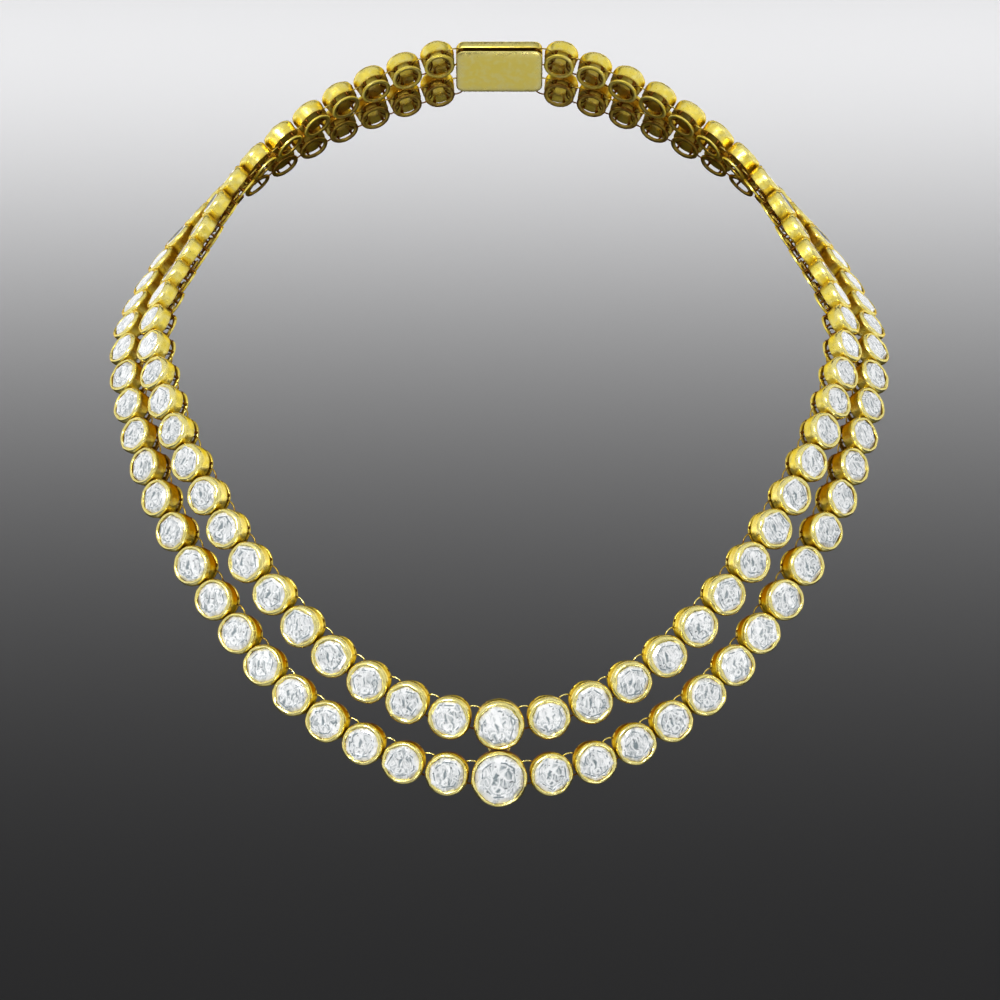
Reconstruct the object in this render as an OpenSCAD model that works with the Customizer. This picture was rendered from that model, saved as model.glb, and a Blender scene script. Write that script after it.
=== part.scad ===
// Layered necklace: two rows of round gold collets, each holding a flat-backed uncut white stone.
// Every collet is a hollow cup on an open gallery: four side posts and a flat base ring behind the cup.
// A round wire loop, soldered to a peg behind each cup, runs round the catch post of the next collet.
// The two large centre collets are tied by one loose ring, and both rows end on one plain clasp.
// Lengths are millimetres. X is the wearer's left and right, -Y the front, +Z up.
// The origin is the middle of the clasp's neck side, where the necklace hangs on the nape.

/* [Collets] */
// Rim diameter of the large collet at the front middle of the lower row
outer_centre_d = 10.2; // [9.6:0.1:10.2]
// Rim diameter of the large collet at the front middle of the upper row
inner_centre_d = 9.2; // [8.6:0.1:9.2]
// Depth of a cup as a share of its rim diameter
depth_share = 0.45; // [0.42:0.01:0.5]
// Radial width of the burnished rim seen from the front
rim_w = 0.7; // [0.65:0.05:0.8]
// Thickness of the cup's floor
floor_t = 0.4; // [0.3:0.05:0.6]
// How much narrower the cup's back is than its rim, on each side
back_taper = 0.2; // [0.1:0.05:0.3]

/* [Gallery] */
// Clear height between the cup and the base ring, where the wire loops run
gallery_h = 1.1; // [1.1:0.05:1.3]
// Thickness of the flat base ring
base_t = 0.45; // [0.4:0.05:0.7]
// Radial width of the flat base ring
base_w = 1.15; // [1.1:0.05:1.3]
// Diameter of the posts and pegs
post_d = 0.5; // [0.4:0.05:0.55]
// Angle between the row's direction and each side post
post_angle = 60; // [60:1:62]

/* [Wire loops] */
// Diameter of the loop wire
wire_d = 0.4; // [0.3:0.05:0.45]
// Radius of a row's loops, to the middle of the wire
loop_r = 2.15; // [2.05:0.05:2.2]
// Distance from a collet's rim to the middle of its catch post
catch_inset = 1.15; // [1.1:0.05:1.2]
// How far above the collets' middles the loops are hung, so that the collets don't tip forward
loop_rise = 0.6; // [0:0.05:0.6]
// Distance from a centre collet's rim to the middle of its tie post
tie_inset = 0.95; // [0.9:0.05:1]
// Clear space between the two tie posts and the ring that holds them together
tie_play = 0.15; // [0.12:0.01:0.25]

/* [Stones] */
// Clear space between a stone and its cup
stone_gap = 0.1; // [0.1:0.01:0.12]
// Table radius as a share of the rim radius
table_share = 0.6; // [0.55:0.01:0.62]
// How far the table stands above the rim
table_rise = 0.05; // [0:0.05:0.2]

/* [Clasp] */
// Length of the clasp along the rows
clasp_l = 17.4; // [17:0.1:18]
// Height of the clasp across the rows
clasp_h = 10.6; // [10.4:0.1:11.4]
// Thickness of the clasp's outer plate
clasp_t = 2.4; // [1.6:0.1:3]
// Thickness of the clasp's plate on the neck side
clasp_back_t = 0.6; // [0.5:0.05:0.8]
// Distance between the two rows at the nape
row_spacing = 7.8; // [7.6:0.1:8]
// Angle by which the clasp leans back from upright
nape_lift = 30; // [28:1:32]

/* [Hidden] */
$fn = 48;

gold = "gold";
white = "gainsboro";
girdle_sides = 12;
wire_sides = 16;

// Columns: half width, forward or back, up or down, and the angle by which the faces look up
X = 0;
Y = 1;
Z = 2;
LIFT = 3;
nape_centre = (gallery_h / 2 + clasp_back_t) * [0, cos(nape_lift), sin(nape_lift)];
nape_up = [0, -sin(nape_lift), cos(nape_lift)];
function nape_row(side) = concat(nape_centre + side * row_spacing / 2 * nape_up, [nape_lift]);

// The lower row, from the front middle to the nape
OUTER_ROUTE = [
    [0,    -109,  -113,   9],
    [20.5, -106,  -109.5, 9],
    [42,   -96,   -97,    22],
    [61.5, -77.5, -72,    25],
    [71,   -50.5, -50,    45],
    [67,   -26,   -38,    51],
    [52,   -6,    -23.5,  51],
    [28,   1.5,   -10,    38],
    nape_row(-1)];

// The upper row, from the front middle to the nape
INNER_ROUTE = [
    [0,    -107,  -103,  4],
    [24.5, -102,  -96,   9],
    [44,   -91,   -79.5, 18],
    [59,   -73.5, -59,   29],
    [65.5, -50.5, -43,   43],
    [58.5, -27.5, -30.5, 41],
    [47.5, -10,   -17,   50],
    [25.5, -2,    -3,    38],
    nape_row(1)];

// Columns: number of the collet counted from the front middle, rim diameter
OUTER_SIZES = [[1, 7.9], [4, 7.7], [8, 7.6], [12, 7.1], [16, 6.7], [30, 6.6]];
INNER_SIZES = [[1, 7.9], [4, 7.8], [8, 7.5], [12, 6.9], [16, 6.7], [28, 6.6]];
outer_count = 30;
inner_count = 28;

// A smooth curve through the rows of a route, which mirrors itself at both ends
// Straight pieces between one row of the table and the next
steps = 24;
function mirrored(row) = [-row[X], row[Y], row[Z], row[LIFT]];
function extended(route) = concat([mirrored(route[1])], route, [mirrored(route[len(route) - 2])]);
function blend(a, b, c, d, f) =
    0.5 * (2 * b + (c - a) * f + (2 * a - 5 * b + 4 * c - d) * f * f + (3 * b - a - 3 * c + d) * f * f * f);
function curve(route) = let (e = extended(route)) concat(
    [for (i = [0:len(route) - 2], j = [0:steps - 1]) blend(e[i], e[i + 1], e[i + 2], e[i + 3], j / steps)],
    [route[len(route) - 1]]);
function place(row) = [row[X], row[Y], row[Z]];
function lengths(points, i = 1, sum = 0, out = [0]) = i == len(points) ? out :
    let (next = sum + norm(place(points[i]) - place(points[i - 1])))
    lengths(points, i + 1, next, concat(out, [next]));
function column(points, along, c) = [for (i = [0:len(points) - 1]) [along[i], points[i][c]]];

// One row of the necklace: the diameter, frame and rim gap of each collet, and last those of the clasp
function rim_d(sizes, centre, i) = i == 0 ? centre : lookup(i, sizes);
function total(list, i = 0) = i == len(list) ? 0 : list[i] + total(list, i + 1);
function spread(route, sizes, centre, count) =
    let (points = curve(route), along = lengths(points), length = along[len(along) - 1],
         d = concat([for (i = [0:count]) rim_d(sizes, centre, i)], [clasp_l]),
         gap = (length + (centre + clasp_l) / 2 - total(d)) / (count + 1),
         tables = [for (c = [X, Y, Z, LIFT]) column(points, along, c)])
    [for (i = 0, s = 0; i <= count + 1; s = s + (d[i] + (i <= count ? d[i + 1] : 0)) / 2 + gap, i = i + 1)
        [d[i], frame_at(tables, s, length), gap]];
D = 0;
FRAME = 1;
GAP = 2;

// A collet's frame: along the row, across it, the way its face looks, and its place
ALONG = 0;
ACROSS = 1;
FACE = 2;
AT = 3;
// The row's direction is measured over this length on each side
reach = 0.5;
function point_at(tables, s) = [for (c = [X, Y, Z]) lookup(s, tables[c])];
function unit(v) = v / norm(v);
function frame(along, lift, at) =
    let (out = unit([along[Y], -along[X], 0]), up = unit(cross(out, along)),
         face = cos(lift) * out + sin(lift) * up)
    [along, cross(face, along), face, at];
function frame_at(tables, s, length) =
    let (before = max(0, s - reach), after = min(length, s + reach),
         along = unit(point_at(tables, after) - point_at(tables, before)))
    frame(s < reach ? [1, 0, 0] : s > length - reach ? [-1, 0, 0] : along,
          lookup(s, tables[LIFT]), point_at(tables, s));
function halfway(a, b, at) =
    let (along = unit(a[ALONG] + b[ALONG]), across = unit(cross(a[FACE] + b[FACE], along)))
    [along, across, cross(along, across), at];
function parts_of(f, c) = [f[ALONG][c], f[ACROSS][c], f[FACE][c], f[AT][c]];
module at_frame(f) {
    multmatrix([parts_of(f, X), parts_of(f, Y), parts_of(f, Z), [0, 0, 0, 1]]) children();
}

OUTER = spread(OUTER_ROUTE, OUTER_SIZES, outer_centre_d, outer_count);
INNER = spread(INNER_ROUTE, INNER_SIZES, inner_centre_d, inner_count);
nape_frame = [[-1, 0, 0], nape_up, [0, cos(nape_lift), sin(nape_lift)], nape_centre];

// Heights in a collet's frame, where the wire loops lie at height zero
cup_back = gallery_h / 2;
base_front = -gallery_h / 2;
// Posts reach this far into the cup and the base ring
overlap = 0.15;
function cup_h(d) = depth_share * d;

// The cup is one turned piece: wall, rounded shoulder, lip burnished over the stone, seat and floor
wall_t = 0.45;
lip_front = 0.12;
lip_t = 0.3;
lip_flat = 0.1;
undercut = 0.25;
seat_depth = 1;
seat_w = 0.35;
// Columns of the shoulder: how far in from the rim's radius, how far behind the face
SHOULDER = [[0, 0.85], [0.12, 0.45], [0.36, 0.14]];
module cup(d) {
    r = d / 2;
    h = cup_h(d);
    profile = concat(
        [[0, 0], [r - back_taper, 0]],
        [for (s = SHOULDER) [r - s[0], h - s[1]]],
        [[r - rim_w + lip_flat, h], [r - rim_w, h - lip_front], [r - rim_w, h - lip_t],
         [r - wall_t, h - lip_t - undercut], [r - wall_t, h - seat_depth],
         [r - wall_t - seat_w, h - seat_depth], [r - wall_t - seat_w, floor_t], [0, floor_t]]);
    translate([0, 0, cup_back]) rotate_extrude() polygon(profile);
}

// The flat base ring behind the cup
base_inset = 0.12;
module base_ring(d) {
    r = d / 2 - base_inset;
    translate([0, 0, base_front - base_t]) rotate_extrude()
        translate([r - base_w, 0]) square([base_w, base_t]);
}

module post(at, bottom, top) {
    translate([at[0], at[1], bottom]) cylinder(d = post_d, h = top - bottom);
}
module full_post(at) { post(at, base_front - overlap, cup_back + overlap); }

side_post_inset = 0.5;
module side_posts(d) {
    r = d / 2 - side_post_inset;
    for (u = [-1, 1], v = [-1, 1]) full_post(r * [u * cos(post_angle), v * sin(post_angle)]);
}

module wire_ring(r) { rotate_extrude() translate([r, 0]) circle(d = wire_d, $fn = wire_sides); }

// The peg that a collet's own wire loop is soldered to; it ends behind the wire, clear of the base ring
peg_end = 0.3;
module peg(at) { post(at, -peg_end, cup_back + overlap); }

module collet(d) {
    cup(d);
    base_ring(d);
    side_posts(d);
}

// Collet i of a row, joined to its loop, which lies halfway to the next collet or to the clasp
function edge(a, side) =
    a[FRAME][AT] + side * (a[D] + a[GAP]) / 2 * a[FRAME][ALONG] + loop_rise * a[FRAME][ACROSS];
function loop_frame(row, i) =
    halfway(row[i][FRAME], row[i + 1][FRAME], (edge(row[i], 1) + edge(row[i + 1], -1)) / 2);
function peg_place(a) = [(a[D] + a[GAP]) / 2 - loop_r, loop_rise];
module row_setting(row, i) {
    at_frame(row[i][FRAME]) {
        collet(row[i][D]);
        full_post([catch_inset - row[i][D] / 2, loop_rise]);
        peg(peg_place(row[i]));
    }
    at_frame(loop_frame(row, i)) wire_ring(loop_r);
}
module both_sides() {
    children();
    mirror([1, 0, 0]) children();
}
module row_settings(row) {
    both_sides() for (i = [1:len(row) - 2]) row_setting(row, i);
}

// A centre collet carries a loop on each side and a tie post towards the other row
function tie_reach(d) = d / 2 - tie_inset;
module centre_setting(row, tie_side) {
    d = row[0][D];
    at_frame(row[0][FRAME]) {
        collet(d);
        full_post([0, tie_side * tie_reach(d)]);
    }
    both_sides() {
        at_frame(row[0][FRAME]) peg(peg_place(row[0]));
        at_frame(loop_frame(row, 0)) wire_ring(loop_r);
    }
}

// An uncut stone: round outline of twelve sides, flat irregular table and flat back
girdle_drop = 0.6;
back_share = 0.55;
table_wander = 0.07;
function ring_points(r, z, turn, wander, seed) =
    let (k = rands(1 - wander, 1, girdle_sides, seed))
    [for (i = [0:girdle_sides - 1])
        let (a = (i + turn) * 360 / girdle_sides) [r * k[i] * cos(a), r * k[i] * sin(a), z]];
module stone(d, seed) {
    r = d / 2;
    h = cup_back + cup_h(d);
    girdle_r = r - wall_t - stone_gap;
    back_r = r * back_share;
    n = girdle_sides;
    points = concat(
        ring_points(r * table_share, h + table_rise, 0.5, 2 * table_wander, seed),
        ring_points(girdle_r, h - girdle_drop, 0, 0, seed),
        ring_points(back_r, h - girdle_drop - (girdle_r - back_r), 0.5, table_wander, seed + 1));
    faces = concat(
        [[for (i = [n - 1:-1:0]) i]],
        [for (i = [0:n - 1]) [i, (i + 1) % n, n + (i + 1) % n]],
        [for (i = [0:n - 1]) [i, n + (i + 1) % n, n + i]],
        [for (i = [0:n - 1]) [n + i, n + (i + 1) % n, 2 * n + i]],
        [for (i = [0:n - 1]) [n + (i + 1) % n, 2 * n + (i + 1) % n, 2 * n + i]],
        [[for (i = [0:n - 1]) 2 * n + i]]);
    polyhedron(points, faces);
}
outer_seed = 100;
inner_seed = 200;
mirror_seed = 50;
module row_stones(row, seed) {
    for (i = [1:len(row) - 2]) {
        at_frame(row[i][FRAME]) stone(row[i][D], seed + i);
        mirror([1, 0, 0]) at_frame(row[i][FRAME]) stone(row[i][D], seed + mirror_seed + i);
    }
}

module outer_settings() { color(gold) row_settings(OUTER); }
module inner_settings() { color(gold) row_settings(INNER); }
module outer_stones() { color(white) row_stones(OUTER, outer_seed); }
module inner_stones() { color(white) row_stones(INNER, inner_seed); }
module outer_centre_setting() { color(gold) centre_setting(OUTER, 1); }
module inner_centre_setting() { color(gold) centre_setting(INNER, -1); }
module outer_centre_stone() { color(white) at_frame(OUTER[0][FRAME]) stone(outer_centre_d, outer_seed); }
module inner_centre_stone() { color(white) at_frame(INNER[0][FRAME]) stone(inner_centre_d, inner_seed); }

// The loose ring that ties the two centre collets, lying in both galleries round the tie posts
function tie_place(a, side) = a[FRAME][AT] + side * tie_reach(a[D]) * a[FRAME][ACROSS];
module centre_ring() {
    low = tie_place(OUTER[0], 1);
    high = tie_place(INNER[0], -1);
    up = unit(high - low);
    r = norm(high - low) / 2 + post_d / 2 + tie_play + wire_d / 2;
    color(gold) at_frame([[1, 0, 0], up, cross([1, 0, 0], up), (low + high) / 2]) wire_ring(r);
}

// The clasp: two plates with cut corners, and a post between them for each of the four last loops
corner_cut = 1.6;
clasp_post_inset = 1.15;
module clasp_outline() {
    x = clasp_l / 2;
    y = clasp_h / 2;
    c = corner_cut;
    polygon([[x, c - y], [x, y - c], [x - c, y], [c - x, y],
             [-x, y - c], [-x, c - y], [c - x, -y], [x - c, -y]]);
}
module clasp() {
    color(gold) at_frame(nape_frame) {
        translate([0, 0, cup_back]) linear_extrude(clasp_t) clasp_outline();
        translate([0, 0, base_front - clasp_back_t]) linear_extrude(clasp_back_t) clasp_outline();
        for (u = [-1, 1], v = [-1, 1])
            full_post([u * (clasp_l / 2 - clasp_post_inset), v * row_spacing / 2 + loop_rise]);
    }
}

outer_settings();
outer_stones();
outer_centre_setting();
outer_centre_stone();
inner_settings();
inner_stones();
inner_centre_setting();
inner_centre_stone();
centre_ring();
clasp();
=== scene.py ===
# %% [markdown]
# # A two-row necklace of gold collets and uncut white stones
# The real necklace is a string of small gold cups. Each cup holds one flat uncut stone, and stands on an
# open gallery, where round wire loops join it to its neighbours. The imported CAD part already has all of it
# at its real size, so this script loads that as a fixed frame and gives every piece the hand-made look that
# plain solids lack. It could also be modelled from nothing, but then the cups would no longer sit where the
# construction has them.

# %% Load the frame
import math
import random

import bmesh
import bpy
import numpy as np
from mathutils import Matrix, Vector


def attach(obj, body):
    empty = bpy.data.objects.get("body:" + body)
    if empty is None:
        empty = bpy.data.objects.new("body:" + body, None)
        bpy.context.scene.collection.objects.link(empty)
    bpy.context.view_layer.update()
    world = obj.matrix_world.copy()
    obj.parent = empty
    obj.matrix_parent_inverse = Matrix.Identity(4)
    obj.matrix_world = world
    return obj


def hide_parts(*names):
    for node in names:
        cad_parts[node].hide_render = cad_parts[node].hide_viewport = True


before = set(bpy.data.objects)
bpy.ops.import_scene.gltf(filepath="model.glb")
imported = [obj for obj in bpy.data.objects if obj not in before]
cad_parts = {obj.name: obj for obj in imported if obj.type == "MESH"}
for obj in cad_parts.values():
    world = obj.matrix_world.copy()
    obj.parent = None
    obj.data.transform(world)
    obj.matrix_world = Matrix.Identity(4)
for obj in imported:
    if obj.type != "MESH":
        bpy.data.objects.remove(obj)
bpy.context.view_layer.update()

MM = 0.001


print("nodes:", sorted(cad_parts))

# %% [markdown]
# ## The camera
# A necklace is photographed from a little above, from far enough away that the near and far stones keep
# almost the same size. A long lens does that. The camera looks down by 15 degrees from 0.9 m in front of
# the lower middle stone, and takes in a field 185 mm wide there.

# %% Camera
DISTANCE = 0.9
FIELD = 0.185
LOOKS_DOWN = 15
CAMERA_AT = (0.00015, -0.97, 0.17075)
SEES_UP_TO = 20

camera = bpy.data.objects.new("camera", bpy.data.cameras.new("camera"))
bpy.context.collection.objects.link(camera)
camera.location = CAMERA_AT
camera.rotation_euler = (math.radians(90 - LOOKS_DOWN), 0, 0)
camera.data.sensor_width = 36
camera.data.lens = camera.data.sensor_width * DISTANCE / FIELD
camera.data.clip_start = 0.01
camera.data.clip_end = SEES_UP_TO
bpy.context.scene.camera = camera
print("lens in mm:", round(camera.data.lens, 1))

# %% [markdown]
# ## Where every collet sits
# Each stone of the frame is a small solid with a round girdle of twelve corners. The girdle's middle gives
# the collet's place, its plane gives the way the face looks, and its radius gives the size of the cup. The
# table is nearer to the girdle than the back is, and that tells front from back. Reading the places from
# the frame, not typing them in, keeps the looks on the construction when its sizes change.

# %% Read the loose solids of a node


def loose_solids(node):
    """The merged corner points of each loose solid of a CAD node, one array for each solid"""
    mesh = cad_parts[node].data
    points = np.array([v.co for v in mesh.vertices])
    keys, same = np.unique(np.round(points / MM, 3), axis=0, return_inverse=True)
    same = same.ravel()
    root = list(range(len(keys)))

    def find(i):
        while root[i] != i:
            root[i] = root[root[i]]
            i = root[i]
        return i

    for polygon in mesh.polygons:
        first, *others = [same[v] for v in polygon.vertices]
        for other in others:
            root[find(other)] = find(first)
    groups = {}
    for i in range(len(keys)):
        groups.setdefault(find(i), []).append(i)
    return [keys[g] * MM for g in groups.values()]


# %% Find each collet from its stone
GIRDLE_SIDES = 12
# From the girdle to the rim, outwards and forwards
WALL_AND_GAP = 0.55 * MM
GIRDLE_DROP = 0.6 * MM
# The open height between ring and cup, and a cup's height as a share of its width
GALLERY = 1.1 * MM
DEPTH_SHARE = 0.45


def unit(v):
    return np.asarray(v) / np.linalg.norm(v)


def collet_of(points):
    """Place, face direction and rim radius of the collet that holds the stone with these corners"""
    middle = points.mean(0)
    girdle = points[np.argsort(np.linalg.norm(points - middle, axis=1))[-GIRDLE_SIDES:]]
    centre = girdle.mean(0)
    face = np.linalg.svd(girdle - centre)[2][2]
    heights = (points - centre) @ face
    if heights.max() > -heights.min():
        face = -face
    radius = np.linalg.norm(girdle - centre, axis=1).mean() + WALL_AND_GAP
    height = GALLERY / 2 + 2 * DEPTH_SHARE * radius - GIRDLE_DROP
    return {"at": centre - height * face, "face": face, "radius": radius}


rows = {}
for row in ("outer", "inner"):
    middle = collet_of(loose_solids(f"{row}_centre_stone")[0])
    strung = [collet_of(points) for points in loose_solids(f"{row}_stones")]
    rows[row] = {"middle": middle, "strung": strung}
    sizes = [round(c["radius"] / MM, 2) for c in strung]
    print(row, len(strung), "collets, rim radius in mm from", min(sizes), "to", max(sizes))

# %% [markdown]
# ## The row's direction at each collet
# A collet's loops leave it along the row, so each collet also needs the row's own direction. The collets of
# one side are put in order by their angle round the neck. The direction at a collet is the line from the
# one before to the one after, squared up to the face. The other side of the necklace is ordered in the same
# way.

# %% Order the collets and find the row's direction
NECK_MIDDLE_Y = -50 * MM


def turn_round_neck(collet):
    x, y = collet["at"][:2]
    return math.atan2(abs(x), NECK_MIDDLE_Y - y)


def squared(direction, face):
    """The part of a direction that lies in the plane of the face"""
    return unit(direction - (direction @ face) * face)


def side_of_row(row, side):
    """The collets of one side, from the middle collet to the nape, each with its direction along the row"""
    chain = [rows[row]["middle"]] + sorted(
        (c for c in rows[row]["strung"] if c["at"][0] * side > 0), key=turn_round_neck)
    chain = [dict(c) for c in chain]
    places = [c["at"] for c in chain]
    turning = unit(places[-1] - places[-2]) - unit(places[-2] - places[-3])
    for i, collet in enumerate(chain):
        if i == 0:
            direction = np.array([side, 0, 0])
        elif i < len(chain) - 1:
            direction = places[i + 1] - places[i - 1]
        else:
            direction = unit(places[i] - places[i - 1]) + turning / 2
        collet["along"] = squared(direction, collet["face"])
    return chain


for row in rows:
    rows[row]["sides"] = [side_of_row(row, side) for side in (1, -1)]
    rows[row]["middle"] = rows[row]["sides"][0][0]
    rows[row]["in_order"] = [collet for chain in rows[row]["sides"] for collet in chain[1:]]
    chain = rows[row]["sides"][0]
    gap = np.mean([np.linalg.norm(b["at"] - a["at"]) - a["radius"] - b["radius"]
                   for a, b in zip(chain, chain[1:])])
    rows[row]["gap"] = gap
    print(row, "mean gap between rims in mm:", round(gap / MM, 2))

# %% [markdown]
# ## Gold
# The gold is a soft, pale yellow alloy of high carat. Burnished lips are pale and smooth, and filed walls are
# satin and a deeper yellow. The gallery, the lip's inner edge and parts of the walls take a brown painted
# shade. One node group makes all three for every gold piece, and gives the height for the shallow dents. It
# reads a value for finish and painted shade that each mesh carries: 0 on the lips, about a third on the walls
# and 1 deep in the gallery, where the painted shade is darkest. A painted texture could do the same, but it
# would not follow a change of shape.

# %% Helpers for node trees


def new_tree(name, tree_kind, inputs, outputs):
    """A tree with sockets from rows of name, kind and perhaps a value, and the sockets it takes and gives"""
    tree = bpy.data.node_groups.new(name, tree_kind)
    for side, sockets in (("INPUT", inputs), ("OUTPUT", outputs)):
        for label, kind, *value in sockets:
            socket = tree.interface.new_socket(label, in_out=side, socket_type="NodeSocket" + kind)
            if value:
                socket.default_value = value[0]
    return tree, tree.nodes.new("NodeGroupInput").outputs, tree.nodes.new("NodeGroupOutput").inputs


def put(tree, kind, label="", settings=None, **inputs):
    """Adds a node. Inputs are named with _ for a space, and are values or other nodes' sockets."""
    node = tree.nodes.new(kind)
    node.label = label
    for key, value in (settings or {}).items():
        setattr(node, key, value)
    for key, value in inputs.items():
        place = int(key[1:]) if key[1:].isdigit() else key.replace("_", " ")
        socket = node.inputs[place]
        if isinstance(value, bpy.types.NodeSocket):
            tree.links.new(value, socket)
        else:
            socket.default_value = value
    return node


# %% Helpers for numbers, colours and patterns


def maths(tree, operation, a, b=0.0, clamp=False):
    settings = {"operation": operation, "use_clamp": clamp}
    return put(tree, "ShaderNodeMath", operation, settings, i0=a, i1=b).outputs[0]


def vector_maths(tree, operation, *values, output="Vector"):
    inputs = {f"i{i}": value for i, value in enumerate(values)}
    return put(tree, "ShaderNodeVectorMath", operation, {"operation": operation}, **inputs).outputs[output]


def between(tree, value, low, high, to_low=0.0, to_high=1.0):
    """A value from low to high turned into one from to_low to to_high, and held at the ends"""
    return put(tree, "ShaderNodeMapRange", "", None, Value=value, From_Min=low, From_Max=high,
               To_Min=to_low, To_Max=to_high).outputs["Result"]


def blend_colours(tree, share, a, b):
    return put(tree, "ShaderNodeMix", "", {"data_type": "RGBA"}, i0=share, i6=a, i7=b).outputs[2]


def noise(tree, label, vector, scale, detail, roughness=0.5, output="Fac"):
    """Noise whose spots are about 1 / scale wide"""
    return put(tree, "ShaderNodeTexNoise", label, None, Vector=vector, Scale=scale, Detail=detail,
               Roughness=roughness).outputs[output]


def carried(tree, name, output="Fac"):
    """A value that the mesh carries under that name"""
    return put(tree, "ShaderNodeAttribute", name, {"attribute_name": name}).outputs[output]


# %% [markdown]
# The group mixes three colours by that value, the third a brown painted shade. Noise of about a millimetre
# makes the dents of the hammer, with a paler painted highlight on their raised parts, finer noise the strokes
# of the burnisher, and a third one the cloudy wear between polished and satin gold.

# %% The worked gold group
WEAR_SIZE = 1.2 * MM


def worked_gold_group():
    tree, given, result = new_tree("worked_gold", "ShaderNodeTree", (
        ("Polished", "Color", (0.96, 0.85, 0.30, 1)),
        ("Satin", "Color", (0.96, 0.78, 0.12, 1)),
        # The brown painted shade laid on the deepest parts
        ("Unpolished", "Color", (0.34, 0.17, 0.012, 1)),
        ("Dent size", "Float", 0.9 * MM),
        ("Roughness", "Float", 0.16)), (("Color", "Color"), ("Roughness", "Float"), ("Height", "Float")))
    place = tree.nodes.new("ShaderNodeTexCoord").outputs["Object"]
    finish_and_shade = carried(tree, "finish_and_shade")

    scale = maths(tree, "DIVIDE", 1.0, given["Dent size"])
    dents = noise(tree, "dents", place, scale, 1.5, 0.45)
    strokes = noise(tree, "strokes", place, maths(tree, "MULTIPLY", scale, 2.7), 2.0, 0.55)
    wear = noise(tree, "wear", place, 1 / WEAR_SIZE, 2.0)

    satin = between(tree, finish_and_shade, 0.0, 0.33)
    cloudy = between(tree, wear, 0.35, 0.65, 0.75, 1.0)
    # Painted shade: the higher the value, the browner, broken up by the wear noise
    painted_shade = maths(tree, "MULTIPLY", between(tree, finish_and_shade, 0.38, 0.9), cloudy)
    painted_shade = maths(tree, "MAXIMUM", painted_shade, between(tree, finish_and_shade, 0.92, 1.0))
    # Painted highlight: paler gold on the raised parts of the dents
    highlight_share = between(tree, dents, 0.45, 0.75, 0.0, 0.35)
    pale = blend_colours(tree, highlight_share, given["Polished"], (0.98, 0.91, 0.62, 1))
    worn = between(tree, wear, 0.45, 0.65, 0.0, 0.7)
    mottled = blend_colours(tree, worn, given["Satin"], given["Polished"])
    colour = blend_colours(tree, satin, pale, mottled)
    tree.links.new(blend_colours(tree, painted_shade, colour, given["Unpolished"]), result["Color"])
    rough = maths(tree, "ADD", given["Roughness"], between(tree, strokes, 0.35, 0.75, -0.05, 0.10))
    tree.links.new(maths(tree, "ADD", rough, maths(tree, "MULTIPLY", satin, 0.10)), result["Roughness"])
    height = maths(tree, "ADD", dents, maths(tree, "MULTIPLY", strokes, 0.3))
    filed = maths(tree, "MULTIPLY", satin, maths(tree, "MULTIPLY", wear, 2.5))
    tree.links.new(maths(tree, "ADD", height, filed), result["Height"])
    return tree


worked_gold = worked_gold_group()
print("nodes in the worked gold:", len(worked_gold.nodes))

# %% [markdown]
# Cups, wires and clasp take the same group, each with dents of its own size and depth. A wire lies deepest,
# so its brown painted shade is the darkest. The edge tint keeps gold yellow where it is seen at a glancing
# angle.

# %% The gold finishes
GOLD = {"Metallic": 1.0, "Specular Tint": (0.5, 0.3, 0.09, 1)}
# The wires' brown painted shade, darker than the cups'
WIRE_SHADOW = (0.15, 0.06, 0.008, 1)


def finish(name, node_tree, depth, settings, **values):
    """A material that takes its colour, its relief and, if the group gives one, its roughness from a group"""
    material = bpy.data.materials.new(name)
    material.use_nodes = True
    tree = material.node_tree
    shader = tree.nodes["Principled BSDF"]
    for key, value in settings.items():
        shader.inputs[key].default_value = value
    group = put(tree, "ShaderNodeGroup", node_tree.name, {"node_tree": node_tree}, **values)
    relief = put(tree, "ShaderNodeBump", "relief", None, Strength=1.0, Distance=depth,
                 Height=group.outputs["Height"])
    tree.links.new(group.outputs["Color"], shader.inputs["Base Color"])
    if "Roughness" in group.outputs:
        tree.links.new(group.outputs["Roughness"], shader.inputs["Roughness"])
    tree.links.new(relief.outputs["Normal"], shader.inputs["Normal"])
    return material


cup_gold = finish("cup_gold", worked_gold, 0.04 * MM, GOLD, Dent_size=1.0 * MM, Roughness=0.22)
wire_gold = finish("wire_gold", worked_gold, 0.02 * MM, GOLD, Dent_size=0.6 * MM, Roughness=0.22,
                   Unpolished=WIRE_SHADOW)
clasp_gold = finish("clasp_gold", worked_gold, 0.006 * MM, GOLD, Dent_size=3.0 * MM, Roughness=0.26)
print("gold finishes:", [m.name for m in (cup_gold, wire_gold, clasp_gold)])

# %% [markdown]
# ## A tree that sets pieces in their places
# A jeweller makes sixty cups alike, and then works each one by hand. The tree does the same: it copies a
# piece to every place, turned to look the right way and scaled to its size, and only then moves the corners
# a little, so that no two come out alike. Copies could be made in a loop of Python too, but the tree keeps
# it in one place, with the amount and the size of the hand's wobble as inputs.

# %% The tree


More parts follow.
